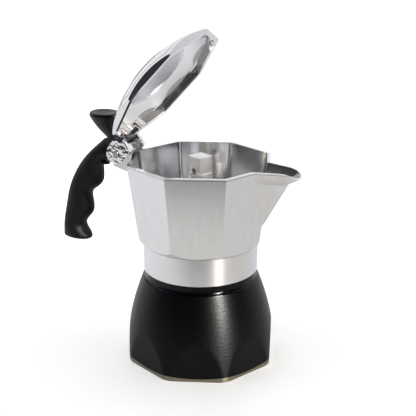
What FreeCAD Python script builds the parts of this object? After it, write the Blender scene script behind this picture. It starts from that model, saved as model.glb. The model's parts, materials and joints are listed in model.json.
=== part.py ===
# Stovetop moka pot of the three-cup size, with an octagonal pot, a round-shouldered boiler,
# a hinged lid that stands open, and the parts that brew and seal inside it.
import FreeCAD, Part
import math
import os
from FreeCAD import Matrix, Placement, Rotation, Vector

# Driving dimensions in millimetres and degrees.
# The pot stands on Z = 0 with its axis on Z. The spout points to +X and the handle to -X.
SIDES = 8

# Boiler: a turned body whose belly is cut by eight upright facets.
BASE_RADIUS = 47.1
BASE_LAND = 3.5
BELLY_RADIUS = 44.2
BELLY_HEIGHT = 25.5
SHOULDER_RADIUS = 35.4
SHOULDER_HEIGHT = 54.2
BOILER_WALL = 3.0
BOILER_FLOOR = 3.5
NECK_INSET = 0.5
NECK_HEIGHT = 3.7
MOUTH_WALL = 3.8
SPIGOT_HEIGHT = 9.2

# Collar of the pot, which screws down over the boiler's spigot.
COLLAR_RADIUS = 35.15
COLLAR_WALL = 2.55
COLLAR_LENGTH = 16.9
COLLAR_GAP = 0.3
THREAD_CLEARANCE = 0.3

# Funnel, gasket and filter plate between boiler and pot.
FUNNEL_SHEET = 0.8
FUNNEL_CLEARANCE = 0.4
FLANGE_INSET = 1.0
BASKET_DEPTH = 18.0
CONE_DROP = 9.0
STEM_RADIUS = 4.4
STEM_GAP = 3.0
SCREEN_SHEET = 0.8
SCREEN_LEDGE = 1.6
GASKET_THICKNESS = 3.6
GASKET_WIDTH = 6.8
GASKET_CLEARANCE = 0.4
PLATE_SHEET = 0.8
PLATE_LAP = 2.2
PLATE_CLEARANCE = 0.3
HOLE_RADIUS = 0.8
HOLE_PITCH = 6.4
HOLES_PER_STEP = 6
PLATE_RINGS = 3
SCREEN_RINGS = 3

# Octagonal pot, measured to its corners.
POT_HEIGHT = 51.5
FOOT_RADIUS = 38.6
RIM_RADIUS = 45.8
POT_WALL = 2.2
POT_FLOOR = 4.5
POT_ROUNDING = 3.0
CHAMBER_DEPTH = 1.6
CHAMBER_INSET = 3.0

# Spout: a wedge on the front corner with a drooping lip.
SPOUT_REACH = 16.0
SPOUT_DROP = 37.6
SPOUT_HALF_WIDTH = 13.3
SPOUT_WALL = 1.3
SPOUT_NOSE = 6.8
LIP_FLARE = 7.0
LIP_START = 0.79
LIP_BEND = 8.2
LIP_CURVE = 16.6
SPOUT_STATIONS = (0.5, 0.79, 0.83, 0.88, 0.94, 1.0, 1.1)
SPOUT_TIP_SHARE = 0.05
CHANNEL_TIP_SHARE = 0.32

# Coffee column with its squared outlet head.
COLUMN_FOOT_RADIUS = 9.5
COLUMN_FOOT_HEIGHT = 1.5
COLUMN_BASE_RADIUS = 8.0
COLUMN_TOP_RADIUS = 6.0
COLUMN_BORE = 2.4
COLUMN_PLUG = 6.4
COLUMN_SPIGOT_RADIUS = 4.2
COLUMN_SPIGOT = 5.0
HEAD_RADIUS = 7.1
HEAD_FLAT = 5.3
HEAD_RISE = 2.2
HEAD_HEIGHT = 15.4
HEAD_LEDGE = 5.2
HEAD_TURN = -21.0
OUTLET_RADIUS = 1.7
HEAD_CLEARANCE = 0.05

# Hinge at the back corner of the rim.
HINGE_OFFSET = 7.65
HINGE_DROP = 0.9
PIN_RADIUS = 1.75
PIN_CLEARANCE = 0.08
PIN_PROUD = 0.4
BOSS_RADIUS = 6.2
BOSS_WIDTH = 13.8
BOSS_DROP = 8.8
BOSS_ROOT_DROP = 12.5
BOSS_WEB = 3.7
LUG_RADIUS = 6.5
LUG_THICKNESS = 3.0
LUG_GAP = 0.4
LUG_SWING = 10.3
LUG_LENGTH = 19.0
TONGUE_WIDTH = 6.0
TONGUE_LENGTH = 19.0
TONGUE_TOP = 0.8
TONGUE_BOTTOM = 7.0

# Lid: a shallow dome trimmed to an octagon.
LID_OPEN = 52.5
LID_INSET = 1.4
LID_GAP = 0.3
LID_SKIRT = 1.2
LID_RIM = 2.8
LID_WALL = 1.6
DOME_RISE = 13.4
DOME_FULLNESS = 0.68
PANEL_RADIUS = 22.5
PANEL_STEP = 0.6

# Thumb lever on the back of the lid, measured from the hinge with the lid shut.
LEVER_CLEARANCE = 7.4
LEVER_BACK = 100.5
LEVER_TRIM = 45.0
LEVER_ROOT_X = 3.4
LEVER_ROOT_Z = 8.6
LEVER_ROOT_HALF = 5.2
LEVER_ROOT_WIDTH = 11.4
PAD_X = 8.6
PAD_Z = 23.7
PAD_HALF = 11.2
PAD_WIDTH = 16.0
PAD_TILT = 41.5
PAD_ROUND = 1.8
PAD_DISH = 1.0
PAD_DISH_RADIUS = 26.0
LEVER_FOOT_X = 21.0
LEVER_FOOT_Z = 12.0
LEVER_WEB_X = 16.0
LEVER_WEB_Z = 16.5
LEVER_SCREW_X = 14.6
SCREW_RADIUS = 1.5
SCREW_HEAD_RADIUS = 2.7
SCREW_HEAD = 1.6

# Handle, measured from the hinge.
HANDLE_START_X = 5.0
HANDLE_START_Z = 12.7
HANDLE_REACH = 46.9
HANDLE_DROP = 61.6
HANDLE_BEND_X = 41.05
HANDLE_BEND_Z = 13.7
HANDLE_FULLNESS = 0.85
HANDLE_TOP_ANGLE = 154.8
WAIST_START = 0.38
WAIST_END = 0.8
ROOT_DEPTH = 18.6
ARCH_DEPTH = 13.2
GRIP_DEPTH = 19.4
GRIP_TAPER = 2.0
GROOVE_DEPTH = 3.2
GROOVE_PITCH = 21.8
GROOVE_COUNT = 2
GRIP_WIDTH = 15.0
ROOT_WIDTH = 14.0
HANDLE_END_ROUND = 4.0
HANDLE_END_INSET = 4.2
LOFT_DEGREE = 3
HANDLE_FIT = 0.1
HANDLE_SCREW_X = 13.5
HANDLE_SCREW_LENGTH = 7.0
HANDLE_SCREW_SEAT = 1.6

# Safety valve on the back of the boiler.
VALVE_AZIMUTH = 112.5
VALVE_HEIGHT = 36.0
VALVE_BOSS_RADIUS = 8.0
VALVE_HEX = 12.0
HEX_SIDES = 6
VALVE_HEX_HEIGHT = 4.0
VALVE_BARREL_RADIUS = 4.6
VALVE_BARREL = 4.4
VALVE_SHANK_RADIUS = 4.2
VALVE_TAIL = 2.5
VALVE_CHAMBER = 3.2
VALVE_SEAT_BORE = 1.6
VALVE_SEAT_LIP = 1.5
VALVE_SEAL = 1.0
VALVE_SEAL_RADIUS = 6.6
VALVE_RETAINER = 1.0
POPPET_HEAD = 2.6
POPPET_HEAD_HEIGHT = 1.2
POPPET_STEM = 1.1
POPPET_PROUD = 2.0
POPPET_CLEARANCE = 0.1
VALVE_LIFT = 1.5
SPRING_WIRE = 0.6
SPRING_RADIUS = 1.7
SPRING_TURNS = 4

# Heights and radii that follow from the driving dimensions.
FLAT = math.cos(math.pi / SIDES)
neck_top = SHOULDER_HEIGHT + NECK_HEIGHT
collar_bottom = neck_top + COLLAR_GAP
collar_top = collar_bottom + COLLAR_LENGTH
collar_bore = COLLAR_RADIUS - COLLAR_WALL
spigot_radius = collar_bore - THREAD_CLEARANCE
mouth_radius = spigot_radius - MOUTH_WALL
boiler_rim = neck_top + SPIGOT_HEIGHT
gasket_bottom = boiler_rim + FUNNEL_SHEET
gasket_top = gasket_bottom + GASKET_THICKNESS
gasket_outer = collar_bore - GASKET_CLEARANCE
gasket_inner = gasket_outer - GASKET_WIDTH
plate_radius = gasket_inner + PLATE_LAP
plate_top = gasket_top + PLATE_SHEET
floor_top = plate_top + POT_FLOOR
rim_height = collar_top + POT_HEIGHT
hinge = Vector(-RIM_RADIUS - HINGE_OFFSET, 0, rim_height - HINGE_DROP)
lid_radius = RIM_RADIUS - LID_INSET
lid_base = rim_height + LID_GAP
lug_inner = BOSS_WIDTH / 2 + LUG_GAP
lug_outer = lug_inner + LUG_THICKNESS
Z_AXIS = Vector(0, 0, 1)
Y_AXIS = Vector(0, 1, 0)
OPENING_AXIS = Vector(0, -1, 0)


def octagon(corner_radius, height):
    """Corners of an octagon with one corner on each axis."""
    step = 2 * math.pi / SIDES
    return [Vector(corner_radius * math.cos(step * i), corner_radius * math.sin(step * i), height)
            for i in range(SIDES)]


def between(lower, upper):
    """Solid with flat sides between two like polygons."""
    floor = lower[::-1]
    faces = [Part.Face(Part.makePolygon(ring + ring[:1])) for ring in (floor, upper)]
    for i in range(len(lower)):
        j = (i + 1) % len(lower)
        faces.append(Part.Face(Part.makePolygon([lower[i], lower[j], upper[j], upper[i], lower[i]])))
    return Part.makeSolid(Part.makeShell(faces))


def turned(outline):
    """Solid of revolution about Z from radius and height points."""
    corners = [Vector(radius, 0, height) for radius, height in outline]
    return Part.Face(Part.makePolygon(corners + corners[:1])).revolve(Vector(), Z_AXIS, 360)


def ring(outer, inner, bottom, height):
    """Flat ring about Z."""
    return turned([(inner, bottom), (outer, bottom), (outer, bottom + height), (inner, bottom + height)])


def cross_bar(radius, half_length, centre=hinge):
    """Round bar along Y through a centre in the XZ plane."""
    return Part.makeCylinder(radius, 2 * half_length, centre - Y_AXIS * half_length, Y_AXIS)


def slab(outline, low, high):
    """Plate from XZ points, standing between two Y values."""
    corners = [Vector(x, low, z) for x, z in outline]
    return Part.Face(Part.makePolygon(corners + corners[:1])).extrude(Vector(0, high - low, 0))


def oval(centre, half_across, half_width):
    """Closed oval in the plane of an XZ vector and Y."""
    normal = half_across.cross(Y_AXIS).normalize()
    scale = Matrix(half_across.x, 0, normal.x, centre.x,
                   half_across.y, half_width, normal.y, centre.y,
                   half_across.z, 0, normal.z, centre.z,
                   0, 0, 0, 1)
    return Part.Wire(Part.makeCircle(1).transformGeometry(scale))


def hole_pattern(rings, bottom, height):
    """Drilled holes in rings of six, twelve and so on round a centre hole."""
    holes = []
    for step in range(rings + 1):
        count = max(1, HOLES_PER_STEP * step)
        for i in range(count):
            turn = 2 * math.pi * i / count
            place = Vector(HOLE_PITCH * step * math.cos(turn), HOLE_PITCH * step * math.sin(turn), bottom)
            holes.append(Part.makeCylinder(HOLE_RADIUS, height, place))
    return Part.makeCompound(holes)


# Boiler

def spun(curve, corners):
    """Solid of revolution from a curve closed by a run of corners."""
    edges = [curve]
    edges += [Part.makeLine(a, b) for a, b in zip(corners, corners[1:])]
    return Part.Face(Part.Wire(Part.__sortEdges__(edges))).revolve(Vector(), Z_AXIS, 360)


def valve_place(shape):
    """Stand a valve piece, made along Z from the boss face, on the boiler's back."""
    turn = math.radians(VALVE_AZIMUTH)
    outward = Vector(math.cos(turn), math.sin(turn), 0)
    base = outward * BASE_RADIUS * FLAT + Z_AXIS * VALVE_HEIGHT
    shape.Placement = Placement(base, Rotation(Z_AXIS, outward)).multiply(shape.Placement)
    return shape


def make_boiler():
    foot = Vector(BASE_RADIUS, 0, BASE_LAND)
    belly = Vector(BELLY_RADIUS, 0, BELLY_HEIGHT)
    shoulder = Vector(SHOULDER_RADIUS, 0, SHOULDER_HEIGHT)
    neck = SHOULDER_RADIUS - NECK_INSET
    body = spun(Part.Arc(foot, belly, shoulder).toShape(),
                [shoulder, Vector(neck, 0, SHOULDER_HEIGHT), Vector(neck, 0, neck_top),
                 Vector(spigot_radius, 0, neck_top), Vector(spigot_radius, 0, boiler_rim),
                 Vector(0, 0, boiler_rim), Vector(), Vector(BASE_RADIUS, 0, 0), foot])
    body = body.common(between(octagon(BASE_RADIUS, 0), octagon(BASE_RADIUS, boiler_rim)))
    deep = BASE_RADIUS / 2
    body = body.fuse(valve_place(Part.makeCylinder(VALVE_BOSS_RADIUS, deep, Z_AXIS * -deep)))
    core = BASE_RADIUS * (1 - FLAT) + BOILER_WALL
    over = boiler_rim + BOILER_WALL
    hollow = turned([(0, BOILER_FLOOR), (BASE_RADIUS - core, BOILER_FLOOR),
                     (BELLY_RADIUS - core, BELLY_HEIGHT),
                     (SHOULDER_RADIUS - core, SHOULDER_HEIGHT - BOILER_WALL),
                     (mouth_radius, SHOULDER_HEIGHT), (mouth_radius, over), (0, over)])
    tapping = valve_place(Part.makeCylinder(VALVE_SHANK_RADIUS, 2 * deep, Z_AXIS * -deep))
    return body.cut(hollow).cut(tapping).removeSplitter()


# Safety valve, along Z from the boss face

valve_top = VALVE_SEAL + VALVE_HEX_HEIGHT + VALVE_BARREL
valve_tail = -2 * BOILER_WALL - VALVE_TAIL
poppet_seat = valve_tail + VALVE_SEAT_LIP


def make_valve_seal():
    return valve_place(ring(VALVE_SEAL_RADIUS, VALVE_SHANK_RADIUS, 0, VALVE_SEAL))


def make_valve_body():
    corner = VALVE_HEX / 2 / math.cos(math.pi / HEX_SIDES)
    turns = [2 * math.pi * i / HEX_SIDES for i in range(HEX_SIDES)]
    hexagon = [Vector(corner * math.cos(turn), corner * math.sin(turn), VALVE_SEAL) for turn in turns]
    nut = Part.Face(Part.makePolygon(hexagon + hexagon[:1])).extrude(Z_AXIS * VALVE_HEX_HEIGHT)
    barrel = Part.makeCylinder(VALVE_BARREL_RADIUS, VALVE_HEX_HEIGHT + VALVE_BARREL, Z_AXIS * VALVE_SEAL)
    shank = Part.makeCylinder(VALVE_SHANK_RADIUS, VALVE_SEAL - valve_tail, Z_AXIS * valve_tail)
    chamber = Part.makeCylinder(VALVE_CHAMBER, valve_top - poppet_seat, Z_AXIS * poppet_seat)
    bore = Part.makeCylinder(VALVE_SEAT_BORE, VALVE_SEAT_LIP, Z_AXIS * valve_tail)
    return valve_place(nut.fuse(barrel).fuse(shank).cut(chamber).cut(bore).removeSplitter())


def make_valve_retainer():
    return valve_place(ring(VALVE_CHAMBER, POPPET_STEM + POPPET_CLEARANCE,
                            valve_top - VALVE_RETAINER, VALVE_RETAINER))


def make_valve_poppet():
    head = Part.makeCylinder(POPPET_HEAD, POPPET_HEAD_HEIGHT, Z_AXIS * poppet_seat)
    stem = Part.makeCylinder(POPPET_STEM, valve_top + POPPET_PROUD - poppet_seat, Z_AXIS * poppet_seat)
    return valve_place(head.fuse(stem).removeSplitter())


def make_valve_spring():
    low = poppet_seat + POPPET_HEAD_HEIGHT
    high = valve_top - VALVE_RETAINER - VALVE_LIFT
    rise = high - low - SPRING_WIRE
    path = Part.makeHelix(rise / SPRING_TURNS, rise, SPRING_RADIUS)
    section = Part.makePolygon([Vector(SPRING_RADIUS + out * SPRING_WIRE, 0, up * SPRING_WIRE)
                                for out, up in ((0, 0), (1, 0), (1, 1), (0, 1), (0, 0))])
    coil = Part.Wire(path).makePipeShell([section], True, True)
    coil.translate(Z_AXIS * low)
    return valve_place(coil)


# Funnel and seals

def make_funnel():
    outer = mouth_radius - FUNNEL_CLEARANCE
    inner = outer - FUNNEL_SHEET
    flange = collar_bore - FLANGE_INSET
    ledge = boiler_rim - BASKET_DEPTH
    neck = ledge - CONE_DROP
    tip = BOILER_FLOOR + STEM_GAP
    bore = STEM_RADIUS - FUNNEL_SHEET
    return turned([(flange, boiler_rim), (flange, gasket_bottom), (inner, gasket_bottom), (inner, ledge),
                   (inner - SCREEN_LEDGE, ledge), (bore, neck), (bore, tip), (STEM_RADIUS, tip),
                   (STEM_RADIUS, neck - FUNNEL_SHEET), (outer, ledge - FUNNEL_SHEET), (outer, boiler_rim)])


def make_funnel_screen():
    radius = mouth_radius - FUNNEL_CLEARANCE - FUNNEL_SHEET
    ledge = boiler_rim - BASKET_DEPTH
    disc = Part.makeCylinder(radius, SCREEN_SHEET, Z_AXIS * ledge)
    return disc.cut(hole_pattern(SCREEN_RINGS, ledge, SCREEN_SHEET))


def make_gasket():
    return ring(gasket_outer, gasket_inner, gasket_bottom, GASKET_THICKNESS)


def make_filter_plate():
    disc = Part.makeCylinder(plate_radius, PLATE_SHEET, Z_AXIS * gasket_top)
    return disc.cut(hole_pattern(PLATE_RINGS, gasket_top, PLATE_SHEET))


# Upper pot

def pot_corner(height):
    """Corner radius of the flared octagon at a height."""
    return FOOT_RADIUS + (RIM_RADIUS - FOOT_RADIUS) * (height - collar_top) / POT_HEIGHT


def spout_section(height, inset):
    """Section of the spout's wedge at a height, with a rounded nose."""
    rise = (height - rim_height + SPOUT_DROP) / SPOUT_DROP
    half = SPOUT_HALF_WIDTH * rise
    root = pot_corner(height) - half * math.tan(math.pi / SIDES) - POT_WALL
    curl = min(1, max(0, (rise - LIP_START) / (1 - LIP_START)))
    lip = LIP_FLARE * (1 - (1 - curl) ** 2)
    nose = pot_corner(height) + SPOUT_REACH * rise + lip - 2 * inset
    blunt = min(SPOUT_NOSE, half / 2) - inset / 2
    left = Vector(root - inset, inset - half, height)
    right = Vector(root - inset, half - inset, height)
    near = Vector(nose - blunt, -blunt, height)
    far = Vector(nose - blunt, blunt, height)
    tip = Part.Arc(near, Vector(nose, 0, height), far).toShape()
    return Part.Wire([Part.makeLine(left, near), tip, Part.makeLine(far, right), Part.makeLine(right, left)])


def spout_wedge(inset, start):
    """Wedge of the spout from a start share of its drop to a little over the rim."""
    heights = [rim_height - SPOUT_DROP * (1 - share) for share in (start, *SPOUT_STATIONS)]
    return Part.makeLoft([spout_section(height, inset) for height in heights], True, True)


def above_lip():
    """Space over the rim, which bends down towards the spout's tip."""
    bend = Vector(RIM_RADIUS + LIP_BEND, 0, rim_height - LIP_CURVE)
    half = 2 * SPOUT_HALF_WIDTH
    corner = bend - Y_AXIS * half
    droop = Part.makeBox(2 * LIP_CURVE, 2 * half, LIP_CURVE, corner).cut(cross_bar(LIP_CURVE, half, bend))
    level = Part.makeBox(bend.x + 2 * LIP_CURVE, 2 * half, LIP_CURVE, Vector(0, -half, rim_height))
    return droop.fuse(level)


def hinge_boss(grow):
    """Cast boss behind the rim that carries the hinge pin, grown by a clearance."""
    half = BOSS_WIDTH / 2 + grow
    eye = cross_bar(BOSS_RADIUS + grow, half)
    root = -RIM_RADIUS + POT_WALL
    rear = hinge.x - BOSS_WEB - grow
    web = slab([(rear, hinge.z), (rear, hinge.z - BOSS_DROP - grow),
                (root, hinge.z - BOSS_ROOT_DROP - grow), (root, hinge.z)], -half, half)
    return eye.fuse(web)


def tongue(grow):
    """Cast tongue behind the boss that the handle is slotted over."""
    half = TONGUE_WIDTH / 2 + grow
    end = hinge.x - TONGUE_LENGTH - grow
    bottom = hinge.z - TONGUE_BOTTOM - grow
    return slab([(hinge.x, hinge.z + TONGUE_TOP + grow), (end, hinge.z - TONGUE_TOP + grow),
                 (end, bottom), (hinge.x, bottom)], -half, half)


def pot_cavity(bottom, over):
    """Inside of the octagonal pot with rounded corners."""
    wall = POT_WALL / FLAT
    space = between(octagon(pot_corner(bottom) - wall, bottom), octagon(pot_corner(over) - wall, over))
    rounded = [edge for edge in space.Edges if edge.BoundBox.ZMin < rim_height]
    return space.makeFillet(POT_ROUNDING, rounded)


def make_upper_pot():
    over = rim_height + POT_WALL
    facets = between(octagon(pot_corner(collar_top), collar_top), octagon(RIM_RADIUS, rim_height))
    bevel = turned([(0, collar_top), (COLLAR_RADIUS, collar_top),
                    (COLLAR_RADIUS + POT_HEIGHT, rim_height), (0, rim_height)])
    body = facets.common(bevel)
    collar = Part.makeCylinder(COLLAR_RADIUS, COLLAR_LENGTH, Z_AXIS * collar_bottom)
    spout = spout_wedge(0, SPOUT_TIP_SHARE).cut(above_lip())
    body = body.fuse([collar, spout, hinge_boss(0), tongue(0)])
    bore = Part.makeCylinder(collar_bore, gasket_top - collar_bottom, Z_AXIS * collar_bottom)
    recess = Part.makeCylinder(plate_radius + PLATE_CLEARANCE, PLATE_SHEET, Z_AXIS * gasket_top)
    chamber = Part.makeCylinder(gasket_inner - CHAMBER_INSET, CHAMBER_DEPTH, Z_AXIS * plate_top)
    column_hole = Part.makeCylinder(COLUMN_PLUG, POT_FLOOR, Z_AXIS * plate_top)
    channel = spout_wedge(SPOUT_WALL, CHANNEL_TIP_SHARE)
    pin_hole = cross_bar(PIN_RADIUS, BOSS_WIDTH)
    screw_foot = hinge - Vector(HANDLE_SCREW_X, 0, TONGUE_BOTTOM)
    screw_hole = Part.makeCylinder(SCREW_RADIUS, TONGUE_BOTTOM, screw_foot)
    cavity = pot_cavity(floor_top, over)
    for tool in (cavity, channel, bore, recess, chamber, column_hole, pin_hole, screw_hole):
        body = body.cut(tool)
    return body.removeSplitter()


# Column and its head

head_top = rim_height + HEAD_RISE
head_bottom = head_top - HEAD_HEIGHT
chamber_top = plate_top + CHAMBER_DEPTH


def make_column():
    foot = floor_top + COLUMN_FOOT_HEIGHT
    neck = head_bottom
    return turned([(COLUMN_BORE, chamber_top), (COLUMN_PLUG, chamber_top), (COLUMN_PLUG, floor_top),
                   (COLUMN_FOOT_RADIUS, floor_top), (COLUMN_FOOT_RADIUS, foot), (COLUMN_BASE_RADIUS, foot),
                   (COLUMN_TOP_RADIUS, neck), (COLUMN_SPIGOT_RADIUS, neck),
                   (COLUMN_SPIGOT_RADIUS, neck + COLUMN_SPIGOT), (COLUMN_BORE, neck + COLUMN_SPIGOT)])


def make_column_head():
    head = Part.makeCylinder(HEAD_RADIUS, HEAD_HEIGHT, Z_AXIS * head_bottom)
    ledge = head_bottom + HEAD_LEDGE
    square = Part.makeBox(2 * HEAD_FLAT, 2 * HEAD_FLAT, HEAD_HEIGHT, Vector(-HEAD_FLAT, -HEAD_FLAT, ledge))
    trim = Part.makeCylinder(2 * HEAD_RADIUS, HEAD_HEIGHT, Z_AXIS * ledge).cut(square)
    socket = Part.makeCylinder(COLUMN_SPIGOT_RADIUS + HEAD_CLEARANCE, COLUMN_SPIGOT, Z_AXIS * head_bottom)
    mixer = Part.makeCylinder(COLUMN_BORE, 2 * OUTLET_RADIUS, Z_AXIS * (head_bottom + COLUMN_SPIGOT))
    outlet_height = head_bottom + COLUMN_SPIGOT + OUTLET_RADIUS
    outlet = cross_bar(OUTLET_RADIUS, 2 * HEAD_RADIUS, Vector(0, 0, outlet_height))
    head = head.cut(trim).cut(socket).cut(mixer).cut(outlet)
    head.rotate(Vector(), Z_AXIS, HEAD_TURN)
    return head


# Lid and lever, made shut and then swung open about the hinge

def swung_open(shape):
    shape.rotate(hinge, OPENING_AXIS, LID_OPEN)
    return shape


def dome(side, thickness, bottom):
    """Octagonal dome of the lid, moved inwards by a side and down by a thickness."""
    edge = lid_radius - side / FLAT
    skirt = lid_base + LID_SKIRT
    top = skirt + DOME_RISE - thickness
    curve = Part.BezierCurve()
    curve.setPoles([Vector(edge, 0, skirt), Vector(edge * DOME_FULLNESS, 0, top), Vector(0, 0, top)])
    cap = spun(curve.toShape(), [Vector(0, 0, top), Vector(0, 0, bottom), Vector(edge, 0, bottom),
                                 Vector(edge, 0, skirt)])
    return cap.common(between(octagon(edge, bottom), octagon(edge, top)))


def panel(side, thickness):
    """Round centre panel of the dome."""
    disc = Part.makeCylinder(PANEL_RADIUS, LID_SKIRT + 2 * DOME_RISE, Z_AXIS * lid_base)
    return dome(side, thickness, lid_base).common(disc)


def lug(side):
    """Round-ended hinge plate at the back of the lid."""
    low, high = sorted((side * lug_inner, side * lug_outer))
    reach = hinge.x + LUG_LENGTH
    bar = slab([(hinge.x, hinge.z - LUG_RADIUS), (reach, hinge.z - LUG_RADIUS),
                (reach, hinge.z + LUG_RADIUS), (hinge.x, hinge.z + LUG_RADIUS)], low, high)
    sweep = slab([(hinge.x, hinge.z - 2 * LUG_RADIUS), (reach, hinge.z - 2 * LUG_RADIUS),
                  (reach, lid_base), (hinge.x, lid_base)], low, high)
    sweep = sweep.cut(cross_bar(LUG_SWING, lug_outer))
    eye = Part.makeCylinder(LUG_RADIUS, high - low, Vector(hinge.x, low, hinge.z), Y_AXIS)
    return bar.cut(sweep).fuse(eye)


def make_lid():
    shell = dome(0, 0, lid_base).fuse(panel(0, -PANEL_STEP))
    shell = shell.cut(dome(LID_RIM, LID_WALL, lid_base)).cut(panel(LID_RIM, LID_WALL - PANEL_STEP))
    shell = shell.fuse([lug(-1), lug(1)])
    shell = shell.cut(cross_bar(PIN_RADIUS + PIN_CLEARANCE, 2 * lug_outer))
    shell = shell.cut(lever_screw_hole())
    return swung_open(shell.removeSplitter())


def lever_screw_hole():
    foot = Vector(hinge.x + LEVER_SCREW_X, 0, hinge.z)
    return Part.makeCylinder(SCREW_RADIUS, PAD_HALF, foot)


def make_lid_lever():
    lean = math.radians(PAD_TILT)
    along = Vector(-math.cos(lean), 0, math.sin(lean))
    outward = Vector(math.sin(lean), 0, math.cos(lean))
    root = hinge + Vector(LEVER_ROOT_X, 0, LEVER_ROOT_Z)
    pad = hinge + Vector(PAD_X, 0, PAD_Z)
    blade = Part.makeLoft([oval(root, along * LEVER_ROOT_HALF, LEVER_ROOT_WIDTH / 2),
                           oval(pad, along * PAD_HALF, PAD_WIDTH / 2)], True, True)
    pad_edge = [edge for edge in blade.Edges if edge.BoundBox.Center.distanceToPoint(pad) < PAD_ROUND]
    blade = blade.makeFillet(PAD_ROUND, pad_edge)
    dish = Part.makeSphere(PAD_DISH_RADIUS, pad + outward * (PAD_DISH_RADIUS - PAD_DISH))
    half = LEVER_ROOT_WIDTH / 2
    heel = hinge.z + LEVER_ROOT_Z
    toe = hinge.x + LEVER_FOOT_X
    web = hinge.z + LEVER_WEB_Z
    foot = slab([(hinge.x, heel), (hinge.x + LEVER_ROOT_X, lid_base), (toe, lid_base),
                 (toe, hinge.z + LEVER_FOOT_Z), (hinge.x + LEVER_WEB_X, web), (hinge.x + PAD_X, web)],
                -half, half)
    back = math.radians(LEVER_BACK)
    far = hinge + Vector(math.cos(back), 0, math.sin(back)) * LEVER_TRIM
    behind = slab([(hinge.x, hinge.z), (far.x, far.z), (far.x - LEVER_TRIM, far.z),
                   (hinge.x - LEVER_TRIM, hinge.z)], -PAD_WIDTH, PAD_WIDTH)
    lever = blade.cut(dish).fuse(foot)
    for tool in (cross_bar(LEVER_CLEARANCE, lug_outer), behind, dome(0, 0, lid_base), lever_screw_hole()):
        lever = lever.cut(tool)
    return swung_open(lever.removeSplitter())


def make_lever_screw():
    inside = dome(LID_RIM, LID_WALL, lid_base)
    axis = Vector(hinge.x + LEVER_SCREW_X, 0, 0)
    probe = Part.makeCylinder(SCREW_HEAD_RADIUS, 2 * DOME_RISE, axis + Z_AXIS * lid_base)
    ceiling = probe.common(inside).BoundBox.ZMax
    head = Part.makeCylinder(SCREW_HEAD_RADIUS, 2 * SCREW_HEAD, axis + Z_AXIS * (ceiling - 2 * SCREW_HEAD))
    shank = Part.makeCylinder(SCREW_RADIUS, LID_WALL + 2 * SCREW_HEAD, axis + Z_AXIS * (ceiling - SCREW_HEAD))
    return swung_open(head.common(inside).fuse(shank).removeSplitter())


def make_hinge_pin():
    return cross_bar(PIN_RADIUS, lug_outer + PIN_PROUD)


# Handle

def handle_back():
    """Curve of the handle's back, from over the hinge round to its lower end."""
    start = hinge + Vector(-HANDLE_START_X, 0, HANDLE_START_Z)
    end = hinge + Vector(-HANDLE_REACH, 0, -HANDLE_DROP)
    bend = hinge + Vector(-HANDLE_BEND_X, 0, -HANDLE_BEND_Z)
    curve = Part.BezierCurve()
    curve.setPoles([start, start + (bend - start) * HANDLE_FULLNESS,
                    end + (bend - end) * HANDLE_FULLNESS, end])
    return curve.toShape()


def handle_stations(length):
    """Distance along the back, depth and width of each section of the handle."""
    first = length - GROOVE_PITCH * (GROOVE_COUNT + 0.5)
    stations = [(0, ROOT_DEPTH, ROOT_WIDTH),
                (first * WAIST_START, (ROOT_DEPTH + ARCH_DEPTH) / 2, ROOT_WIDTH),
                (first * WAIST_END, ARCH_DEPTH, ROOT_WIDTH)]
    for i in range(2 * GROOVE_COUNT + 1):
        distance = first + GROOVE_PITCH * (i + 1) / 2 - HANDLE_END_ROUND
        depth = GRIP_DEPTH - GRIP_TAPER * (1 - distance / length)
        stations.append((distance, depth - (GROOVE_DEPTH if i % 2 else 0), GRIP_WIDTH))
    stations.append((length, depth - HANDLE_END_INSET, GRIP_WIDTH - HANDLE_END_INSET))
    return stations


def make_handle():
    back = handle_back()
    sections = []
    for distance, depth, width in handle_stations(back.Length):
        at = back.getParameterByLength(distance)
        inward = back.tangentAt(at).cross(Y_AXIS).normalize()
        sections.append(oval(back.valueAt(at) + inward * depth / 2, inward * depth / 2, width / 2))
    grip = Part.makeLoft(sections, True, False, False, LOFT_DEGREE)
    top = math.radians(HANDLE_TOP_ANGLE)
    far = hinge + Vector(math.cos(top), 0, math.sin(top)) * HANDLE_REACH
    over = slab([(hinge.x, hinge.z), (far.x, far.z), (far.x, far.z + HANDLE_REACH),
                 (hinge.x + ROOT_DEPTH, hinge.z + HANDLE_REACH), (hinge.x + ROOT_DEPTH, hinge.z)],
                -GRIP_WIDTH, GRIP_WIDTH)
    screw = hinge - Vector(HANDLE_SCREW_X, 0, 0)
    shaft = Part.makeCylinder(SCREW_RADIUS, HANDLE_DROP, screw - Z_AXIS * HANDLE_DROP)
    sink = handle_screw_head()
    recess = Part.makeCylinder(SCREW_HEAD_RADIUS + HANDLE_FIT, HANDLE_DROP,
                               Vector(screw.x, 0, sink - HANDLE_DROP))
    lug_swing = cross_bar(LUG_RADIUS + LUG_GAP, lug_outer)
    for tool in (over, hinge_boss(HANDLE_FIT), lug_swing, tongue(HANDLE_FIT), shaft, recess):
        grip = grip.cut(tool)
    return grip


def handle_screw_head():
    """Height of the seat that the handle's screw head bears on."""
    return hinge.z - TONGUE_BOTTOM - HANDLE_FIT - HANDLE_SCREW_SEAT


def make_handle_screw():
    seat = handle_screw_head()
    place = Vector(hinge.x - HANDLE_SCREW_X, 0, seat)
    head = Part.makeCylinder(SCREW_HEAD_RADIUS, SCREW_HEAD, place - Z_AXIS * SCREW_HEAD)
    shank = Part.makeCylinder(SCREW_RADIUS, HANDLE_SCREW_LENGTH, place)
    return head.fuse(shank).removeSplitter()


def write(name, shape):
    shape.exportStep("parts/" + name + ".step")


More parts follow.
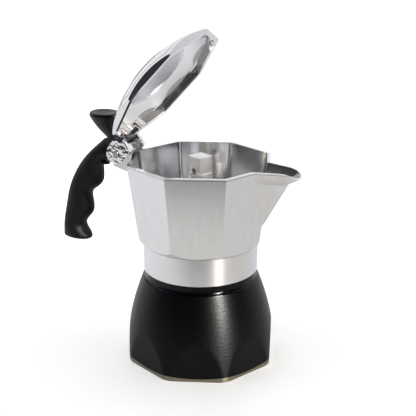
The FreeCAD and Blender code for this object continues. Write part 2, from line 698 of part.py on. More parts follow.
os.makedirs("parts", exist_ok=True)
write("boiler", make_boiler())
write("valve_seal", make_valve_seal())
write("valve_body", make_valve_body())
write("valve_retainer", make_valve_retainer())
write("valve_poppet", make_valve_poppet())
write("valve_spring", make_valve_spring())
write("funnel", make_funnel())
write("funnel_screen", make_funnel_screen())
write("gasket", make_gasket())
write("filter_plate", make_filter_plate())
write("upper_pot", make_upper_pot())
write("column", make_column())
write("column_head", make_column_head())
write("lid", make_lid())
write("lid_lever", make_lid_lever())
write("lever_screw", make_lever_screw())
write("hinge_pin", make_hinge_pin())
write("handle", make_handle())
write("handle_screw", make_handle_screw())
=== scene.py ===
import json
import math

import bpy
from mathutils import Matrix, Vector

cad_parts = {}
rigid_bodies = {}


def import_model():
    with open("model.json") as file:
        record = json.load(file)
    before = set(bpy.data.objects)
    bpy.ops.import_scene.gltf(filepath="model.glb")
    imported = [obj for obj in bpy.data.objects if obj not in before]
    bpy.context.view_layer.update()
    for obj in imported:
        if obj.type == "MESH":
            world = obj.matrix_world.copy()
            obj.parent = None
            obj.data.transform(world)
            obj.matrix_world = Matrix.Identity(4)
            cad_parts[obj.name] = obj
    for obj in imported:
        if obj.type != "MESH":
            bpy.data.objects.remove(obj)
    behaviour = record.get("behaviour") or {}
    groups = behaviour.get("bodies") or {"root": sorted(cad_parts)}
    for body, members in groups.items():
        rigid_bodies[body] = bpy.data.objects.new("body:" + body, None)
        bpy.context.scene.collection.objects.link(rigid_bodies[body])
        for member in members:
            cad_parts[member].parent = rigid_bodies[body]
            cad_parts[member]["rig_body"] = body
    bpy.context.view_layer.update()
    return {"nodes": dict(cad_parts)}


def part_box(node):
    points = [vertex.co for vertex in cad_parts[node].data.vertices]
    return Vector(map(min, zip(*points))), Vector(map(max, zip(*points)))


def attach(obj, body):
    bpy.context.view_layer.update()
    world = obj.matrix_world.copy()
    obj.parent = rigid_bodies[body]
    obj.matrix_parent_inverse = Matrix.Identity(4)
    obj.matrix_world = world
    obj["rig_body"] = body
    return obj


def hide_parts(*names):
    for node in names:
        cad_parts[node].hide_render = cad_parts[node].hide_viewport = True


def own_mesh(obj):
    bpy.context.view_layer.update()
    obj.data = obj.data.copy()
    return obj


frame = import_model()
nodes = frame["nodes"]


# Boiler: the cast aluminium lower vessel, painted satin black outside.
# Its belly is turned and then milled to eight flats, and its spigot is cut with the screw thread.
# The paint stops above a bare, turned lower edge, and the spigot and the inside stay bare.
SIDE = math.pi / 4
BELLY_FLAT = 0.0437
PAINT_EDGE = 0.0019
PAINT_EDGE_SLOPE = 0.45
PAINT_EDGE_BLUR = 0.00005
PAINT_TOP = 0.0579
PAINT_TOP_BLUR = 0.0001
PAINT_ROUGHNESS = 0.34
CLOUD_ROUGHNESS = 0.05
GLOSS_RING_BOTTOM = 0.0519
GLOSS_RING_BLUR = 0.0006
GLOSS_RING_POLISH = 0.20
BARE_ROUGHNESS = 0.34
WALL_MIDDLE = 0.042
WALL_MIDDLE_HEIGHT = 0.003
WALL_MIDDLE_CURVE = 4.6
WALL_BLUR = 0.0001
SPECKLE_RELIEF = 0.04
LATHE_RELIEF = 0.09


class Wire:
    """One socket of a shader, with arithmetic that adds its Math nodes."""

    def __init__(self, tree, socket=None):
        self.tree = tree
        self.socket = socket

    def make(self, kind, settings=(), output=0, **sockets):
        """Add a node, with its settings set first and its sockets fed after."""
        node = self.tree.nodes.new("ShaderNode" + kind)
        for name, value in dict(settings).items():
            setattr(node, name, value)
        for name, value in sockets.items():
            self.feed(node, name, value)
        return Wire(self.tree, node.outputs[output] if node.outputs else None)

    def feed(self, node, name, value):
        """Link or set a socket, called by its name or by i and its number."""
        key = int(name[1:]) if name[1:].isdigit() else name.replace("_", " ")
        if isinstance(value, Wire):
            self.tree.links.new(value.socket, node.inputs[key])
        else:
            node.inputs[key].default_value = value

    def math(self, operation, other=0.0, third=0.0):
        return self.make("Math", {"operation": operation}, i0=self, i1=other, i2=third)

    def __add__(self, other):
        return self.math("ADD", other)

    def __sub__(self, other):
        return self.math("SUBTRACT", other)

    def __mul__(self, other):
        return self.math("MULTIPLY", other)

    def __rsub__(self, other):
        return self.make("Math", {"operation": "SUBTRACT"}, i0=other, i1=self)

    __radd__ = __add__
    __rmul__ = __mul__

    def over(self, low, high):
        """Smooth step from 0 at low to 1 at high."""
        settings = {"interpolation_type": "SMOOTHSTEP"}
        return self.make("MapRange", settings, Value=self, From_Min=low, From_Max=high)

    def line(self, half, edge):
        """1 within a half width of zero, fading to 0 at the edge."""
        return 1 - self.math("ABSOLUTE").over(half, edge)

    def mix(self, first, second):
        """Colour between two others, this value being the share of the second."""
        return self.make("Mix", {"data_type": "RGBA"}, 2, i0=self, i6=first, i7=second)


def new_finish(name, slot, **uniform):
    """Material with a Principled shader, and the wire of its Object coordinates."""
    material = bpy.data.materials.new(name)
    material.use_nodes = True
    material["slot"] = slot
    tree = material.node_tree
    shader = tree.nodes["Principled BSDF"]
    for socket, value in uniform.items():
        shader.inputs[socket.replace("_", " ")].default_value = value
    return material, shader, Wire(tree).make("TexCoord", output="Object")


def axes_of(place):
    """X, Y and Z of a place."""
    return [place.make("SeparateXYZ", (), axis, Vector=place) for axis in "XYZ"]


def length_of(first, second):
    """Distance from two wires at right angles."""
    return (first * first + second * second).math("SQRT")


def grain(place, scale, stretch=(1, 1, 1), detail=3.0):
    """Noise from 0 to 1 at a scale per metre, stretched along the axes."""
    turned = place.make("Mapping", Vector=place, Scale=stretch)
    return place.make("TexNoise", Vector=turned, Scale=scale, Detail=detail)


def dress(shader, **wires):
    """Feed the sockets of a finish that change over its surface."""
    for socket, wire in wires.items():
        wire.feed(shader, socket, wire)


def bump(height, shader, strength, depth):
    """Raise the surface by a height wire."""
    dress(shader, Normal=height.make("Bump", Height=height, Strength=strength, Distance=depth))


def colour(red, green, blue):
    return (red, green, blue, 1.0)


paint, shader, place = new_finish("satin_black_paint", "black_paint", Specular_IOR_Level=0.20,
                                  Specular_Tint=colour(0.88, 0.92, 1.0), Anisotropic=0.7,
                                  Anisotropic_Rotation=0.25)
x, y, z = axes_of(place)
from_axis = length_of(x, y)
bare_line = PAINT_EDGE + PAINT_EDGE_SLOPE * (from_axis - BELLY_FLAT)
above_edge = (z - bare_line).over(-PAINT_EDGE_BLUR, PAINT_EDGE_BLUR)
up_wall = z - WALL_MIDDLE_HEIGHT
wall_middle = WALL_MIDDLE - up_wall * up_wall * WALL_MIDDLE_CURVE
outside = (from_axis - wall_middle).over(-WALL_BLUR, WALL_BLUR)
below_spigot = 1 - (z - PAINT_TOP).over(-PAINT_TOP_BLUR, 0.0)
painted = above_edge * outside * below_spigot
speckle = grain(place, 1200)
lathe_lines = grain(place, 1200, stretch=(0.12, 0.12, 1.0))
clouds = grain(place, 45)
gloss_ring = z.over(GLOSS_RING_BOTTOM, GLOSS_RING_BOTTOM + GLOSS_RING_BLUR)
ink = clouds.mix(colour(0.0015, 0.0015, 0.003), colour(0.003, 0.003, 0.005))
metal = speckle.mix(colour(0.25, 0.225, 0.185), colour(0.37, 0.34, 0.285))
paint_roughness = PAINT_ROUGHNESS + CLOUD_ROUGHNESS * clouds - GLOSS_RING_POLISH * gloss_ring
dress(shader, Base_Color=painted.mix(metal, ink), Metallic=1 - painted,
      Roughness=painted * paint_roughness + (1 - painted) * BARE_ROUGHNESS)
surface = (speckle * SPECKLE_RELIEF + lathe_lines * LATHE_RELIEF) * painted
bump(surface, shader, strength=0.9, depth=0.0012)

BASE_CORNER = 0.0467
BASE_ROUND = [(BASE_CORNER - 0.0006, 0), (BASE_CORNER - 0.0002, 0.0002), (BASE_CORNER, 0.0008)]
BELLY_FOOT = (BASE_CORNER, 0.0035)
BELLY_MIDDLE = (0.0442, 0.0255)
BELLY_POINTS = 40
BELLY_STEPS = 384
SHOULDER = (0.0363, 0.0521)
NECK = 0.0346
COVE = [(0.0361, 0.0524), (0.0351, 0.0530), (NECK, 0.0541)]
COVE_POINTS = 8
NECK_EDGE = [(NECK, 0.0577), (NECK - 0.0003, PAINT_TOP)]
SPIGOT = 0.0323
SPIGOT_TOP = 0.0668
SPIGOT_SLACK = 0.00002
RIM_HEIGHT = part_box("boiler")[1][2]
MOUTH = 0.0285
RIM = [(SPIGOT - 0.0004, RIM_HEIGHT), (MOUTH + 0.0003, RIM_HEIGHT), (MOUTH, SPIGOT_TOP)]
INSIDE = [(MOUTH, 0.0542), (0.0288, 0.0512), (0.0376, 0.0255), (0.0405, 0.0036), (0.0, 0.0035)]
FLAT_LEAN = 0.035
FLAT_SOFTNESS = 0.00015
FLAT_TOP = 0.050
FLAT_INNERMOST = 0.0413
THREAD_LEAD = 0.0035
THREAD_DEPTH = 0.0009
THREAD_RUNOUT = 0.0014
THREAD_RINGS = 42


def arc_points(start, middle, end, count):
    """Points of the arc through three radius and height points, ends included."""
    (ax, ay), (bx, by), (cx, cy) = start, middle, end
    cross = 2 * (ax * (by - cy) + bx * (cy - ay) + cx * (ay - by))
    a, b, c = ax * ax + ay * ay, bx * bx + by * by, cx * cx + cy * cy
    x = (a * (by - cy) + b * (cy - ay) + c * (ay - by)) / cross
    y = (a * (cx - bx) + b * (ax - cx) + c * (bx - ax)) / cross
    radius = math.hypot(ax - x, ay - y)
    first, last = math.atan2(ay - y, ax - x), math.atan2(cy - y, cx - x)
    turns = [first + (last - first) * i / (count - 1) for i in range(count)]
    return [(x + radius * math.cos(turn), y + radius * math.sin(turn)) for turn in turns]


def spun_shell(name, outline, steps):
    """Shell turned about Z from radius and height points, extruded point by point and spun."""
    bpy.ops.object.select_all(action="DESELECT")
    bpy.ops.mesh.primitive_plane_add(size=0.001, location=(0, 0, 0))
    piece = bpy.context.object
    piece.name = name
    bpy.ops.object.mode_set(mode="EDIT")
    bpy.ops.mesh.merge(type="CENTER")
    last = Vector()
    for radius, height in outline:
        point = Vector((radius, 0, height))
        bpy.ops.mesh.extrude_region_move(TRANSFORM_OT_translate={"value": point - last})
        last = point
    bpy.ops.mesh.select_all(action="SELECT")
    bpy.ops.mesh.spin(steps=steps, angle=2 * math.pi, center=(0, 0, 0), axis=(0, 0, 1))
    bpy.ops.mesh.select_all(action="SELECT")
    bpy.ops.mesh.remove_doubles(threshold=0.00001)
    bpy.ops.mesh.normals_make_consistent(inside=False)
    bpy.ops.object.mode_set(mode="OBJECT")
    return piece


def mill_flats(piece):
    """Press eight leaning flats into the turned belly, with soft edges between flat and round."""
    for vertex in piece.data.vertices:
        radius = math.hypot(vertex.co.x, vertex.co.y)
        if radius < FLAT_INNERMOST or vertex.co.z > FLAT_TOP:
            continue
        turn = math.atan2(vertex.co.y, vertex.co.x) % SIDE - SIDE / 2
        limit = (BELLY_FLAT + FLAT_LEAN * vertex.co.z) / math.cos(turn)
        sharp = min(radius, limit)
        past_round = math.exp((sharp - radius) / FLAT_SOFTNESS)
        past_flat = math.exp((sharp - limit) / FLAT_SOFTNESS)
        blunt = sharp - FLAT_SOFTNESS * math.log(past_round + past_flat)
        vertex.co.x *= blunt / radius
        vertex.co.y *= blunt / radius


def cut_thread(piece):
    """Cut a right-hand thread into the spigot, running out at both ends."""
    for vertex in piece.data.vertices:
        radius = math.hypot(vertex.co.x, vertex.co.y)
        to_end = min(vertex.co.z - PAINT_TOP, SPIGOT_TOP - vertex.co.z)
        if abs(radius - SPIGOT) > SPIGOT_SLACK or to_end < 0:
            continue
        turn = math.atan2(vertex.co.y, vertex.co.x) / (2 * math.pi)
        groove = abs(2 * ((vertex.co.z / THREAD_LEAD - turn) % 1) - 1)
        groove *= groove * (3 - 2 * groove) * min(1, to_end / THREAD_RUNOUT)
        vertex.co.x *= 1 - THREAD_DEPTH * groove / radius
        vertex.co.y *= 1 - THREAD_DEPTH * groove / radius


boiler_outline = BASE_ROUND + arc_points(BELLY_FOOT, BELLY_MIDDLE, SHOULDER, BELLY_POINTS)
boiler_outline += arc_points(*COVE, COVE_POINTS) + NECK_EDGE
for ring in range(THREAD_RINGS + 1):
    boiler_outline.append((SPIGOT, PAINT_TOP + (SPIGOT_TOP - PAINT_TOP) * ring / THREAD_RINGS))
boiler_outline += RIM + INSIDE
boiler = spun_shell("boiler_piece", boiler_outline, BELLY_STEPS)
mill_flats(boiler)
cut_thread(boiler)

VALVE_AZIMUTH = math.radians(112.5)
VALVE_HEIGHT = 0.036
VALVE_FACE = 0.0435
BOSS_RADIUS = 0.008
BOSS_DEPTH = 0.006
BOILER_CREASE = math.radians(35)
outward = Vector((math.cos(VALVE_AZIMUTH), math.sin(VALVE_AZIMUTH), 0))
boss_middle = outward * (VALVE_FACE - BOSS_DEPTH / 2) + Vector((0, 0, VALVE_HEIGHT))
bpy.ops.object.select_all(action="DESELECT")
bpy.ops.mesh.primitive_cylinder_add(vertices=64, radius=BOSS_RADIUS, depth=BOSS_DEPTH,
                                    location=boss_middle,
                                    rotation=outward.to_track_quat("Z", "Y").to_euler())
boss = bpy.context.object
bpy.ops.object.transform_apply()
union = boiler.modifiers.new("boss", "BOOLEAN")
union.operation = "UNION"
union.object = boss
bpy.context.view_layer.objects.active = boiler
bpy.ops.object.modifier_apply(modifier="boss")
bpy.data.objects.remove(boss)
bpy.ops.object.select_all(action="DESELECT")
boiler.select_set(True)
bpy.ops.object.shade_smooth_by_angle(angle=BOILER_CREASE)
boiler.data.materials.append(paint)
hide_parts("boiler")
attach(boiler, nodes["boiler"]["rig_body"])


# Safety valve: a turned brass body screwed into the boiler's back on a white rubber washer.
# A brass pin in its bore lifts against a steel spring when the pressure is too high.
# A pressed brass ring holds the spring, which the real valve squeezes as the pin lifts; here the spring
# is not squeezed.
TARNISH_ROUGHNESS = 0.12


def turned_metal(name, slot, low, high, roughness):
    """Bare metal with fine lathe rings round the piece and a slight tarnish."""
    finish, shader, place = new_finish(name, slot, Metallic=1.0)
    tarnish = grain(place, 320)
    rings = grain(place, 900, stretch=(1, 1, 6))
    dress(shader, Base_Color=tarnish.mix(low, high), Roughness=roughness + TARNISH_ROUGHNESS * tarnish)
    bump(rings, shader, strength=0.12, depth=0.0003)
    return finish


def mottled(name, slot, scale, low, high, roughness, spread, relief, stretch=(1, 1, 1), **uniform):
    """Finish whose colour, roughness and relief all follow one grain."""
    finish, shader, place = new_finish(name, slot, **uniform)
    mottle = grain(place, scale, stretch)
    dress(shader, Base_Color=mottle.mix(low, high), Roughness=roughness + spread * mottle)
    strength, depth = relief
    bump(mottle, shader, strength, depth)
    return finish


def soften(name, finish, width, crease=32, segments=2, reshape=None):
    """Copy of a solid with its faces joined and its edges rounded, in place of the solid."""
    source = nodes[name]
    piece = bpy.data.objects.new(name + "_piece", source.data.copy())
    bpy.context.scene.collection.objects.link(piece)
    bpy.ops.object.select_all(action="DESELECT")
    bpy.context.view_layer.objects.active = piece
    piece.select_set(True)
    bpy.ops.object.mode_set(mode="EDIT")
    bpy.ops.mesh.select_all(action="SELECT")
    bpy.ops.mesh.remove_doubles(threshold=0.000002)
    bpy.ops.mesh.dissolve_limited(angle_limit=math.radians(0.5))
    bpy.ops.object.mode_set(mode="OBJECT")
    if reshape:
        reshape(piece)
    if width:
        edge = piece.modifiers.new("edge", "BEVEL")
        edge.width = width
        edge.segments = segments
        edge.limit_method = "ANGLE"
        edge.angle_limit = math.radians(crease)
        bpy.ops.object.modifier_apply(modifier="edge")
    bpy.ops.object.shade_smooth_by_angle(angle=math.radians(crease))
    flats = piece.modifiers.new("flats", "WEIGHTED_NORMAL")
    flats.keep_sharp = True
    bpy.ops.object.modifier_apply(modifier="flats")
    piece.data.materials.clear()
    piece.data.materials.append(finish)
    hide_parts(name)
    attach(piece, source["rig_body"])
    return piece


brass = turned_metal("turned_brass", "brass", colour(0.62, 0.42, 0.17), colour(0.80, 0.60, 0.30), 0.22)
steel = turned_metal("bright_steel", "steel", colour(0.50, 0.50, 0.51), colour(0.66, 0.66, 0.66), 0.18)
rubber = mottled("white_rubber", "white_rubber", 700,
                 colour(0.78, 0.77, 0.73), colour(0.86, 0.85, 0.82),
                 roughness=0.55, spread=0.15, relief=(0.15, 0.0003))
soften("valve_seal", rubber, width=0.0003)
soften("valve_body", brass, width=0.00025)
soften("valve_retainer", brass, width=0.00015)
soften("valve_poppet", brass, width=0.0002)
spring = soften("valve_spring", steel, width=0.0)
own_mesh(spring)


# Funnel and its screen: spun aluminium sheet, bright and drawn in rings.
# The funnel hangs by its flange in the boiler's mouth, and the drilled screen is pressed into its basket.
RING_TILT = 0.7
SPUN_ROUGHNESS = 0.2
RING_ROUGHNESS = 0.14
spun, shader, place = new_finish("spun_aluminium", "inner_aluminium", Metallic=1.0)
x, y, z = axes_of(place)
along_sheet = length_of(x, y) + RING_TILT * z
rings = z.make("TexNoise", {"noise_dimensions": "1D"}, W=along_sheet, Scale=2600.0, Detail=2.0)
haze = grain(place, 90)
dress(shader, Base_Color=haze.mix(colour(0.60, 0.60, 0.61), colour(0.72, 0.72, 0.73)),
      Roughness=SPUN_ROUGHNESS + RING_ROUGHNESS * rings)
bump(rings, shader, strength=0.1, depth=0.0002)
soften("funnel", spun, width=0.0002)
soften("funnel_screen", spun, width=0.0)


# Sealing ring and filter plate: a moulded white rubber ring seals the pot to the boiler.
# Its lip holds the drilled aluminium plate, and both go up with the pot when it is unscrewed.
soften("gasket", rubber, width=0.0005, segments=3)
soften("filter_plate", spun, width=0.0)


# Pot: the cast aluminium upper vessel, with an octagonal body, a spout, a hinge boss and a turned collar.
# The facets are linished upright, the rim is polished and the inside is smooth, with its inner corners
# darkened as painted shade.
# The collar is brushed round. A dark line of painted shade runs where it meets the facets, and another
# just under the rim.
COLLAR_TOP = 0.0751
COLLAR_INNERMOST = 0.0345
COLLAR_SHADOW_RISE = 0.0002
COLLAR_SHADOW_WIDTH = (0.0001, 0.0004)
RIM_TOP = 0.1266
RIM_CORNER = 0.0458
RIM_BAND = (-0.0006, -0.0001)
RIM_ROUGHNESS = 0.12
RIM_SHADOW_DROP = 0.0009
RIM_SHADOW_WIDTH = (0.0001, 0.0003)
RIM_SHADOW_SHARE = 0.7
FOOT_CORNER = 0.0386
POT_WALL = 0.0022
POT_WALL_BLUR = 0.0002
POT_FLOOR = 0.0800
POT_FLOOR_BLUR = 0.0008
CORNER_SHADE_TURN = (0.350, 0.372)
FACET_ROUGHNESS = 0.13
LINISH_ROUGHNESS = 0.10
INSIDE_POLISH = 0.07
STREAK_SHARE = 0.8
STREAK_CONTRAST = (0.25, 0.75)


def off_facet(x, y):
    """Turn from the middle of the nearest of eight sides."""
    return y.math("ARCTAN2", x).math("FLOORED_MODULO", SIDE) - SIDE / 2


cast, shader, place = new_finish("linished_aluminium", "pot_aluminium", Metallic=1.0)
x, y, z = axes_of(place)
turn = off_facet(x, y)
across_flats = length_of(x, y) * turn.math("COSINE")
flare = (RIM_CORNER - FOOT_CORNER) / (RIM_TOP - COLLAR_TOP)
mid_wall = ((z - COLLAR_TOP) * flare + FOOT_CORNER) * math.cos(SIDE / 2) - POT_WALL / 2
within_wall = (mid_wall - across_flats).over(-POT_WALL_BLUR, POT_WALL_BLUR)
inside = within_wall * z.over(POT_FLOOR, POT_FLOOR + POT_FLOOR_BLUR)
# Painted shade: the inside's corners are darkened.
shaded_corner = inside * turn.math("ABSOLUTE").over(*CORNER_SHADE_TURN)
on_rim = (z - RIM_TOP).over(*RIM_BAND)
# Painted shade: a dark line where the collar meets the facets, and one just under the rim.
collar_shadow_line = (z - COLLAR_TOP - COLLAR_SHADOW_RISE).line(*COLLAR_SHADOW_WIDTH)
rim_shadow_line = (z - RIM_TOP + RIM_SHADOW_DROP).line(*RIM_SHADOW_WIDTH)
painted_shadow_lines = (collar_shadow_line + RIM_SHADOW_SHARE * rim_shadow_line) * (1 - inside)
linish = grain(place, 900, stretch=(1, 1, 0.03))
streaks = grain(place, 520, stretch=(1, 1, 0.04), detail=4.0) * STREAK_SHARE
streaks = (streaks + grain(place, 30) * (1 - STREAK_SHARE)).over(*STREAK_CONTRAST)
tone = streaks.mix(colour(0.79, 0.79, 0.81), colour(0.84, 0.835, 0.835))
tone = inside.mix(tone, colour(0.76, 0.76, 0.77))
# Painted shade darkens the inside corners.
tone = shaded_corner.mix(tone, colour(0.30, 0.30, 0.31))
# Painted shadow lines at the collar join and under the rim.
tone = painted_shadow_lines.mix(tone, colour(0.16, 0.16, 0.17))
tone = on_rim.mix(tone, colour(0.88, 0.88, 0.89))
roughness = FACET_ROUGHNESS + LINISH_ROUGHNESS * linish - INSIDE_POLISH * inside
dress(shader, Base_Color=tone, Roughness=roughness * (1 - on_rim) + RIM_ROUGHNESS * on_rim)
bump(linish, shader, strength=0.03, depth=0.0002)
brushed = mottled("brushed_collar", "pot_aluminium", 700,
                  colour(0.76, 0.76, 0.77), colour(0.88, 0.88, 0.88),
                  roughness=0.18, spread=0.08, relief=(0.08, 0.0002), stretch=(0.1, 0.1, 12.0),
                  Metallic=1.0, Anisotropic=0.8, Anisotropic_Rotation=0.25)
pot = soften("upper_pot", cast, width=0.0003, crease=30)
pot.data.materials.append(brushed)
for face in pot.data.polygons:
    from_axis = math.hypot(face.center.x, face.center.y)
    on_band = face.center.z < COLLAR_TOP and from_axis > COLLAR_INNERMOST
    face.material_index = int(on_band)


# Column and its head: turned and milled aluminium, pressed into the pot's floor.
# Coffee rises in the column and leaves by the cross hole under the squared head.
satin = mottled("milled_aluminium", "inner_aluminium", 260,
                colour(0.70, 0.70, 0.71), colour(0.86, 0.86, 0.87),
                roughness=0.24, spread=0.10, relief=(0.02, 0.0004), Metallic=1.0)
soften("column", spun, width=0.0004)
soften("column_head", satin, width=0.0006, segments=3)


# Hinge pin: a bright steel pin, turned to size.
# It is pressed through the pot's boss, and the lid's two lugs turn on its ends.
soften("hinge_pin", steel, width=0.0003, segments=3)


# Lid: a polished aluminium casting, domed outside and hollow inside, with two hinge lugs at its back.
# The hollow is satin round a smoother middle. Its lens-shaped zones are painted dark as painted
# reflection, with painted shadow lines along their arcs and painted shade on its eight inner walls.
# The metal near the hinge is left as it was cast, uneven as if hammered.
HINGE = Vector((-0.05345, 0, 0.1257))
LID_OPEN = math.radians(52.5)
LUG_REACH = (0.008, 0.014)
SKIRT_TOP = 0.1281
DOME_RISE = 0.0105
DOME_RADIUS = 0.043
DOME_POWER = 4.0
DOME_BLUR = 0.0003
HOLLOW_EDGE = 0.0416
HOLLOW_RISE = 0.0118
HOLLOW_FULLNESS = 0.68
HOLLOW_SLACK = 0.0009
HOLLOW_END = (0.0379, 0.0384)
CEILING_RISE = 0.0085
CEILING_POWER = 2.6
CEILING_ROOT = 0.4545
SATIN_START = 0.0225
SATIN_BLUR = 0.0003
SCALLOP_DEPTH = 0.0343
SCALLOP_CURVE = 0.027
SCALLOP_BLUR = 0.0003
SCALLOP_SHADE = 0.6
SCALLOP_LINE = (0.0001, 0.0004)
SCALLOP_LINE_SHADE = 0.85
INNER_WALL = (0.0002, 0.0004)
INNER_WALL_FOOT = (-0.0008, -0.0004)
POLISH_ROUGHNESS = 0.05
SMEAR_ROUGHNESS = 0.06
HOLLOW_ROUGHNESS = 0.13
SATIN_ROUGHNESS = 0.26
WAVE_RELIEF = 0.1
polish, shader, place = new_finish("polished_aluminium", "lid_aluminium", Metallic=1.0)
x, y, z = axes_of(place)
off_x, off_z = x - HINGE.x, z - HINGE.z
near_hinge = 1 - length_of(off_x, off_z).over(*LUG_REACH)
shut_x = off_x * math.cos(LID_OPEN) + off_z * math.sin(LID_OPEN) + HINGE.x
shut_z = off_z * math.cos(LID_OPEN) - off_x * math.sin(LID_OPEN) + HINGE.z
from_axis = length_of(shut_x, y)
turn = off_facet(shut_x, y)
across_flats = from_axis * turn.math("COSINE")
mid_shell = DOME_RISE * (1 - (from_axis * (1 / DOME_RADIUS)).math("POWER", DOME_POWER)) + SKIRT_TOP
hollow = (mid_shell - shut_z).over(-DOME_BLUR, DOME_BLUR) * (1 - from_axis.over(*HOLLOW_END))
satin_ring = hollow * (from_axis - SATIN_START).over(0.0, SATIN_BLUR)
scallop = across_flats - turn * turn * SCALLOP_CURVE - SCALLOP_DEPTH
# Painted reflection: the lens-shaped zones beside the inner walls are greyed, and a painted shadow line
# runs along their arcs.
dark_lens_reflection = hollow * scallop.over(0.0, SCALLOP_BLUR)
arc_shadow_line = hollow * scallop.line(*SCALLOP_LINE)
# Painted shade on the eight inner walls near the skirt.
on_flat = (across_flats - HOLLOW_EDGE * math.cos(SIDE / 2)).line(*INNER_WALL)
shaded_inner_wall = on_flat * (shut_z - SKIRT_TOP).over(*INNER_WALL_FOOT)
smear = grain(place, 160, stretch=(1, 1, 0.4))
tone = smear.mix(colour(0.80, 0.80, 0.82), colour(0.88, 0.88, 0.89))
# The hollow is painted paler and bluer than the outside, as painted reflection.
tone = hollow.mix(tone, colour(0.92, 0.93, 0.97))
# Painted dark reflection on the lens zones, painted shadow lines on the arcs and painted shade on the
# inner walls.
tone = (SCALLOP_SHADE * dark_lens_reflection).mix(tone, colour(0.38, 0.38, 0.39))
tone = (SCALLOP_LINE_SHADE * arc_shadow_line).mix(tone, colour(0.12, 0.12, 0.13))
tone = shaded_inner_wall.mix(tone, colour(0.22, 0.22, 0.23))
roughness = POLISH_ROUGHNESS + SMEAR_ROUGHNESS * smear + HOLLOW_ROUGHNESS * hollow
dress(shader, Base_Color=tone, Roughness=roughness + SATIN_ROUGHNESS * satin_ring)
surface = grain(place, 60) * WAVE_RELIEF + grain(place, 400, detail=1.0) * near_hinge
bump(surface, shader, strength=0.80, depth=0.0006)
shut = Matrix.Translation(HINGE) @ Matrix.Rotation(LID_OPEN, 4, "Y") @ Matrix.Translation(-HINGE)
opened = shut.inverted()


def flat_ceiling(piece):
    """Press the hollow flatter under the lid, with its tight curve near the edge."""
    bend = 2 * HOLLOW_FULLNESS - 1
    lean = 2 - 2 * HOLLOW_FULLNESS
    for vertex in piece.data.vertices:
        place = shut @ vertex.co
        share = math.hypot(place.x, place.y) / HOLLOW_EDGE
        if share > 1:
            continue
        along = (math.sqrt(lean * lean + 4 * bend * (1 - share)) - lean) / (2 * bend)
        rise = HOLLOW_RISE * (1 - (1 - along) ** 2)
        if place.z < SKIRT_TOP or abs(place.z - SKIRT_TOP - rise) > HOLLOW_SLACK:
            continue
        place.z += CEILING_RISE * (1 - share ** CEILING_POWER) ** CEILING_ROOT - rise
        vertex.co = opened @ place


soften("lid", polish, width=0.0005, crease=25, segments=3, reshape=flat_ceiling)


# Thumb lever: moulded black plastic, worn smooth by the thumb, with a pad that lifts and widens.
# It is held on the lid's back by a steel screw from inside.
PAD_HEEL = Vector((-0.0572, 0, 0.1489))
PAD_UP = Vector((-0.191, 0, 0.982))
PAD_LIFT = math.radians(12)
PAD_DEPTH = 0.012
PAD_WIDENING = 0.2
BLOOM_ROUGHNESS = 0.10


def moulded_plastic(name, specular, roughness):
    """Black moulded plastic with fine pores and a faint bloom."""
    finish, shader, place = new_finish(name, "black_plastic", Specular_IOR_Level=specular)
    bloom = grain(place, 70)
    dress(shader, Base_Color=bloom.mix(colour(0.0025, 0.003, 0.005), colour(0.004, 0.005, 0.008)),
          Roughness=roughness + BLOOM_ROUGHNESS * bloom)
    bump(grain(place, 4200, detail=2.0), shader, strength=0.12, depth=0.0002)
    return finish


thumbed = moulded_plastic("thumbed_black_plastic", specular=0.42, roughness=0.34)
lever = soften("lid_lever", thumbed, width=0.0009, crease=30, segments=4)
for vertex in lever.data.vertices:
    reach = vertex.co - PAD_HEEL
    share = max(0.0, min(1.0, 1 + reach.dot(PAD_UP) / PAD_DEPTH))
    lift = PAD_LIFT * share * share * (3 - 2 * share)
    vertex.co = PAD_HEEL + Vector((reach.x * math.cos(lift) + reach.z * math.sin(lift),
                                   reach.y * (1 + PAD_WIDENING * share),
                                   reach.z * math.cos(lift) - reach.x * math.sin(lift)))
soften("lever_screw", steel, width=0.0003)


# Handle: moulded black plastic with finger grooves, left matt.
# It is slotted over the pot's tongue and held there by a blackened steel screw from below.
moulded = moulded_plastic("soft_black_plastic", specular=0.22, roughness=0.46)
blackened = mottled("blackened_steel", "steel", 900,
                    colour(0.03, 0.03, 0.035), colour(0.06, 0.06, 0.065),
                    roughness=0.36, spread=0.12, relief=(0.1, 0.0003), Metallic=1.0)
soften("handle", moulded, width=0.0008, crease=30, segments=3)
soften("handle_screw", blackened, width=0.0003)


# Studio: a pale floor in a white surround, with a camera at the photograph's angle.
# A narrow key box draws the highlight down the paint, and two soft boxes light only what is matt.
# What the metal mirrors is bright behind the pot and dark towards the camera.
CAMERA_AZIMUTH = math.radians(26.21)
CAMERA_HEIGHT_ANGLE = math.radians(18.70)
CAMERA_DISTANCE = 0.59765
CAMERA_TARGET = Vector((0.00503, 0, 0.09636))
CAMERA_LENS = 85
toward_camera = Vector((math.sin(CAMERA_AZIMUTH) * math.cos(CAMERA_HEIGHT_ANGLE),
                        -math.cos(CAMERA_AZIMUTH) * math.cos(CAMERA_HEIGHT_ANGLE),
                        math.sin(CAMERA_HEIGHT_ANGLE)))
lens = bpy.data.cameras.new("camera")
lens.lens = CAMERA_LENS
lens.clip_start = 0.01
camera = bpy.data.objects.new("camera", lens)
camera.location = CAMERA_TARGET + toward_camera * CAMERA_DISTANCE
camera.rotation_euler = toward_camera.to_track_quat("Z", "Y").to_euler()
bpy.context.scene.collection.objects.link(camera)
bpy.context.scene.camera = camera

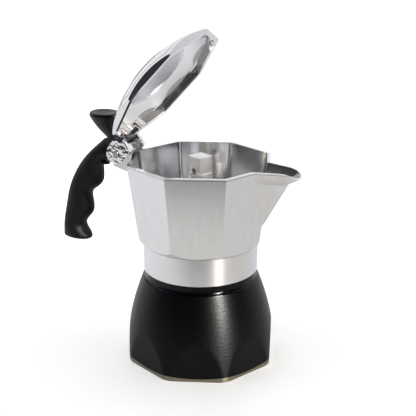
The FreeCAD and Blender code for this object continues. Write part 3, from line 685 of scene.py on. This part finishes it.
FLOOR_SIZE = 8
FLOOR_DROP = 0.0001
FLOOR_GLOW = 0.50
FLOOR_FAR_GLOW = 0.90
FLOOR_NEAR_GLOW = 0.14
FLOOR_SIDE_GLOW = 0.12
FLOOR_BACK_GLOW = 0.04
FAR_REACH = (0.10, 0.40)
SIDE_REACH = (0.03, 0.15)
BACK_REACH = (0.0, 0.12)
DARK_REACH = (0.15, 0.32)
TINT_REACH = (-0.06, 0.06)
TOWARD_SIDE = (-0.9, -0.44, 0)


def along_direction(place, direction):
    """How far a place lies in a direction."""
    return place.make("VectorMath", {"operation": "DOT_PRODUCT"}, "Value", i0=place, i1=tuple(direction))


def bare_tree(owner):
    """Empty shader of a material or world, and the wires that say what looks at it."""
    owner.use_nodes = True
    owner.node_tree.nodes.clear()
    wire = Wire(owner.node_tree)
    seen = wire.make("LightPath", output="Is Camera Ray")
    mirrored = wire.make("LightPath", output="Is Glossy Ray")
    return wire, seen, mirrored


bpy.ops.object.select_all(action="DESELECT")
bpy.ops.mesh.primitive_plane_add(size=FLOOR_SIZE, location=(0, 0, -FLOOR_DROP))
floor = bpy.context.object
floor.name = "floor"
pale = bpy.data.materials.new("pale_floor")
wire, seen, mirrored = bare_tree(pale)
place = wire.make("TexCoord", output="Object")
ahead = along_direction(place, toward_camera)
behind = ahead * -1.0
aside = along_direction(place, TOWARD_SIDE)
away = wire.make("VectorMath", {"operation": "LENGTH"}, "Value", i0=place)
glow_seen = FLOOR_GLOW + away.over(*FAR_REACH) * (FLOOR_FAR_GLOW - FLOOR_GLOW)
glow_mirrored = (FLOOR_NEAR_GLOW + aside.over(*SIDE_REACH) * FLOOR_SIDE_GLOW
                 + behind.over(*BACK_REACH) * FLOOR_BACK_GLOW)
lit = 1 - mirrored * ahead.over(*DARK_REACH)
tint = behind.over(*TINT_REACH).mix(colour(0.88, 0.865, 0.835), colour(0.83, 0.845, 0.88))
paper = mirrored.mix(colour(0.86, 0.86, 0.86), tint)
matt = wire.make("BsdfDiffuse", Color=lit.mix(colour(0.07, 0.063, 0.10), paper))
strength = seen * glow_seen + mirrored * lit * glow_mirrored
glow = wire.make("Emission", Color=colour(1, 1, 1), Strength=strength)
wire.make("OutputMaterial", Surface=wire.make("AddShader", i0=matt, i1=glow))
floor.data.materials.append(pale)

SURROUND_FADE = (-0.30, 0.17)
world = bpy.data.worlds.new("surround")
bpy.context.scene.world = world
wire, seen, mirrored = bare_tree(world)
level = Vector((toward_camera.x, toward_camera.y, 0)).normalized()
facing = along_direction(wire.make("TexCoord", output="Generated"), level)
in_metal = facing.over(*SURROUND_FADE).mix(colour(0.90, 0.90, 0.92), colour(0.035, 0.035, 0.04))
air = mirrored.mix(colour(0.25, 0.25, 0.25), in_metal)
backdrop = wire.make("Background", Color=seen.mix(air, colour(1, 1, 1)), Strength=1.0)
wire.make("OutputWorld", Surface=backdrop)


def soft_box(name, azimuth, height_angle, distance, width, height, power):
    """Area lamp aimed at the pot from a direction."""
    azimuth, height_angle = math.radians(azimuth), math.radians(height_angle)
    away = Vector((math.cos(azimuth) * math.cos(height_angle),
                   math.sin(azimuth) * math.cos(height_angle), math.sin(height_angle)))
    lamp = bpy.data.lights.new(name, "AREA")
    lamp.shape = "RECTANGLE"
    lamp.size = width
    lamp.size_y = height
    lamp.energy = power
    holder = bpy.data.objects.new(name, lamp)
    holder.location = CAMERA_TARGET + away * distance
    holder.rotation_euler = away.to_track_quat("Z", "Y").to_euler()
    bpy.context.scene.collection.objects.link(holder)
    return holder


key = soft_box("key_box", azimuth=-28, height_angle=22, distance=1.1, width=0.10, height=0.5, power=40)
key.visible_diffuse = False
key.data.color = (1.0, 0.94, 0.82)
fill = soft_box("side_box", azimuth=-150, height_angle=40, distance=1.3, width=0.8, height=0.8, power=2.5)
fill.visible_glossy = False
overhead = soft_box("top_box", azimuth=120, height_angle=70, distance=1.3, width=1.0, height=1.0, power=7)
overhead.visible_glossy = False
bpy.context.scene.view_settings.view_transform = "Standard"
